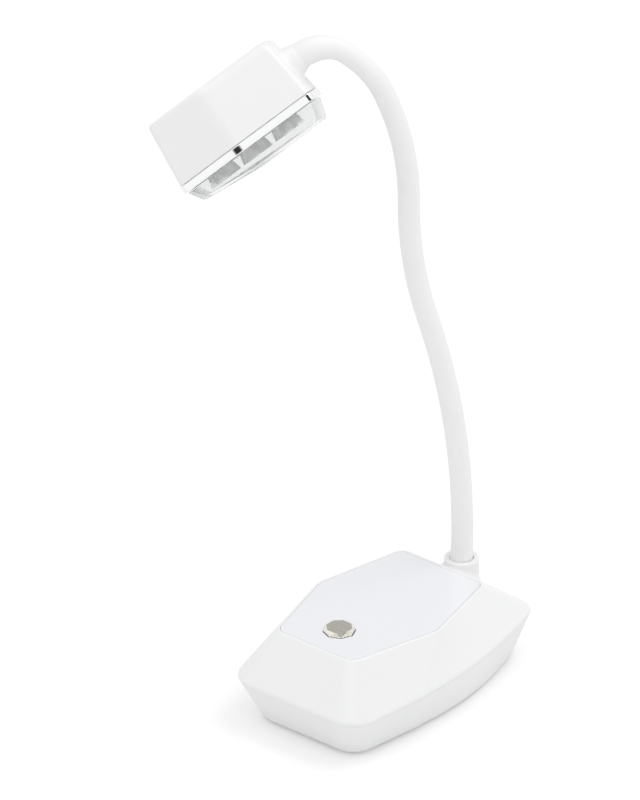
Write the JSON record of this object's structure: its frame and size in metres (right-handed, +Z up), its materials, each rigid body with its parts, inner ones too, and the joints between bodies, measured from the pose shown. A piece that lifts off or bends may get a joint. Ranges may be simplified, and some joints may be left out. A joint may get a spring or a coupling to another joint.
{
  "type": "gooseneck uv curing lamp",
  "caption": "Cordless gooseneck curing lamp: a faceted weighted base with a metal push button, a bendable sleeved neck and a faceted LED head with a clear lens.",
  "frame": {"origin": "middle of the underside of the base pad, on the surface the lamp stands on", "axes": "+Z up, -Y towards the front of the base where the button is, +X to the right seen from the front"},
  "size_m": [0.1403, 0.135, 0.3158],
  "materials": {
    "white_plastic": "satin-gloss moulded ABS",
    "panel_plastic": "polished acrylic inlay, faint cool grey",
    "white_silicone": "smooth matt silicone sleeve",
    "grey_rubber": "fine-textured anti-slip rubber",
    "black_plastic": "matt moulded",
    "green_board": "solder mask over glass-fibre board",
    "white_board": "white solder mask on aluminium core",
    "zinc_steel": "bright zinc plated",
    "spring_steel": "plain drawn wire",
    "nickel": "brushed nickel",
    "chrome": "bright plated",
    "aluminium": "plain rolled",
    "clear_plastic": "clear polished",
    "cell_wrap": "heat-shrink wrapped cell",
    "phosphor": "yellow phosphor under a clear dome"
  },
  "bodies": {
    "base": {"ballast_plate": "zinc_steel", "base_lower_shell": "white_plastic", "base_pad": "grey_rubber", "base_screw_1": "zinc_steel", "base_screw_2": "zinc_steel", "base_screw_3": "zinc_steel", "base_screw_4": "zinc_steel", "base_upper_shell": "white_plastic", "battery_cell": "cell_wrap", "battery_holder": "black_plastic", "button_guide": "black_plastic", "button_spring": "spring_steel", "control_board": "green_board", "neck_core_00": "spring_steel", "neck_ferrule": "zinc_steel", "neck_nut": "zinc_steel", "neck_sleeve_00": "white_silicone", "socket_board": "green_board", "socket_shell": "zinc_steel", "socket_tongue": "black_plastic", "switch_body": "black_plastic", "top_panel": "panel_plastic"},
    "button": {"button_cap": "nickel", "switch_plunger": "black_plastic"},
    "neck_1": {"neck_core_01": "spring_steel", "neck_sleeve_01": "white_silicone"},
    "neck_2": {"neck_core_02": "spring_steel", "neck_sleeve_02": "white_silicone"},
    "neck_3": {"neck_core_03": "spring_steel", "neck_sleeve_03": "white_silicone"},
    "neck_4": {"neck_core_04": "spring_steel", "neck_sleeve_04": "white_silicone"},
    "neck_5": {"neck_core_05": "spring_steel", "neck_sleeve_05": "white_silicone"},
    "neck_6": {"neck_core_06": "spring_steel", "neck_sleeve_06": "white_silicone"},
    "neck_7": {"neck_core_07": "spring_steel", "neck_sleeve_07": "white_silicone"},
    "neck_8": {"neck_core_08": "spring_steel", "neck_sleeve_08": "white_silicone"},
    "neck_9": {"neck_core_09": "spring_steel", "neck_sleeve_09": "white_silicone"},
    "head": {"head_ferrule": "zinc_steel", "head_nut": "zinc_steel", "head_screw_1": "zinc_steel", "head_screw_2": "zinc_steel", "head_shell": "white_plastic", "head_trim": "chrome", "heat_sink": "aluminium", "led_1": "phosphor", "led_2": "phosphor", "led_3": "phosphor", "led_board": "white_board", "lens_cover": "clear_plastic", "neck_core_10": "spring_steel", "neck_sleeve_10": "white_silicone", "reflector_1": "chrome", "reflector_2": "chrome", "reflector_3": "chrome"}
  },
  "joints": [
    {"name": "neck_lower_bend", "type": "hinge", "parent": "base", "child": "neck_1", "pos_m": [0.00009, 0.05281, 0.0666], "axis": [0.7727, -0.6347, 0], "range_deg": [-15, 15]},
    {"name": "neck_side_bend", "type": "hinge", "parent": "neck_1", "child": "neck_2", "pos_m": [-0.00094, 0.05156, 0.09454], "axis": [0.6319, 0.7693, 0.0938], "range_deg": [-14, 14]},
    {"name": "neck_lower_bend_2", "type": "hinge", "parent": "neck_2", "child": "neck_3", "pos_m": [-0.00324, 0.04876, 0.1223], "axis": [0.7727, -0.6347, 0], "range_deg": [-15, 15]},
    {"name": "neck_lower_bend_3", "type": "hinge", "parent": "neck_3", "child": "neck_4", "pos_m": [-0.00681, 0.04441, 0.14972], "axis": [0.7727, -0.6347, 0], "range_deg": [-15, 15]},
    {"name": "neck_side_bend_2", "type": "hinge", "parent": "neck_4", "child": "neck_5", "pos_m": [-0.01147, 0.03873, 0.17674], "axis": [0.6148, 0.7485, 0.2486], "range_deg": [-14, 14]},
    {"name": "neck_lower_bend_4", "type": "hinge", "parent": "neck_5", "child": "neck_6", "pos_m": [-0.01472, 0.03478, 0.20425], "axis": [0.7727, -0.6347, 0], "range_deg": [-15, 15]},
    {"name": "neck_upper_bend", "type": "hinge", "parent": "neck_6", "child": "neck_7", "pos_m": [-0.01563, 0.03367, 0.23219], "axis": [0.7727, -0.6347, 0], "range_deg": [-25, 10]},
    {"name": "neck_side_bend_3", "type": "hinge", "parent": "neck_7", "child": "neck_8", "pos_m": [-0.01748, 0.03142, 0.25799], "axis": [0.6213, 0.7564, 0.2047], "range_deg": [-14, 14]},
    {"name": "neck_upper_bend_2", "type": "hinge", "parent": "neck_8", "child": "neck_9", "pos_m": [-0.02235, 0.02549, 0.28279], "axis": [0.7727, -0.6347, 0], "range_deg": [-25, 10]},
    {"name": "neck_upper_bend_3", "type": "hinge", "parent": "neck_9", "child": "head", "pos_m": [-0.02996, 0.01623, 0.30107], "axis": [0.7727, -0.6347, 0], "range_deg": [-25, 10]},
    {"name": "power_button", "type": "slide", "parent": "base", "child": "button", "axis": [0, 0, -1], "range_m": [0, 0.0008], "stiffness_N_per_m": 1200, "springref_m": -0.0003, "deforming": ["button_spring"]}
  ],
  "couplings": [
    {"joint": "neck_lower_bend_2", "follows": "neck_lower_bend", "ratio": 1},
    {"joint": "neck_lower_bend_3", "follows": "neck_lower_bend", "ratio": 1},
    {"joint": "neck_side_bend_2", "follows": "neck_side_bend", "ratio": 1},
    {"joint": "neck_lower_bend_4", "follows": "neck_lower_bend", "ratio": 1},
    {"joint": "neck_side_bend_3", "follows": "neck_side_bend", "ratio": 1},
    {"joint": "neck_upper_bend_2", "follows": "neck_upper_bend", "ratio": 1},
    {"joint": "neck_upper_bend_3", "follows": "neck_upper_bend", "ratio": 1}
  ]
}
